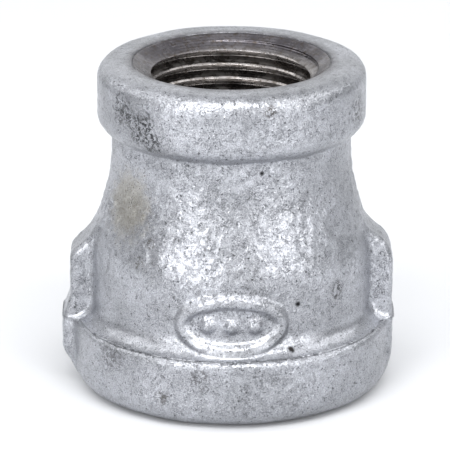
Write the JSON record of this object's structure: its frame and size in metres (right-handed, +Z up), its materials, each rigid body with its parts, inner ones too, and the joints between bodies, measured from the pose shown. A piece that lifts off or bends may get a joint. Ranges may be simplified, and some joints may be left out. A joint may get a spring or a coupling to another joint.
{
  "type": "concentric reducer",
  "caption": "Galvanised malleable iron reducing coupling: a banded, ribbed body that joins two different sizes of taper-threaded pipe in line.",
  "frame": {"origin": "centre of the large end's face, on the bore axis", "axes": "+Z up the bore axis from the large end to the small end; the two ribs stand at +X and -X on the casting's parting line; -Y is the side with the raised oval mark"},
  "size_m": [0.0316, 0.0304, 0.0318],
  "materials": {
    "malleable_iron": "bare machined and threaded iron, dark with cutting oil",
    "outer_zinc": "rough hot-dip zinc over an as-cast skin",
    "inner_zinc": "dull hot-dip zinc"
  },
  "bodies": {
    "root": {"iron_casting": "malleable_iron", "outer_zinc_coat": "outer_zinc", "inner_zinc_coat": "inner_zinc"}
  },
  "joints": []
}
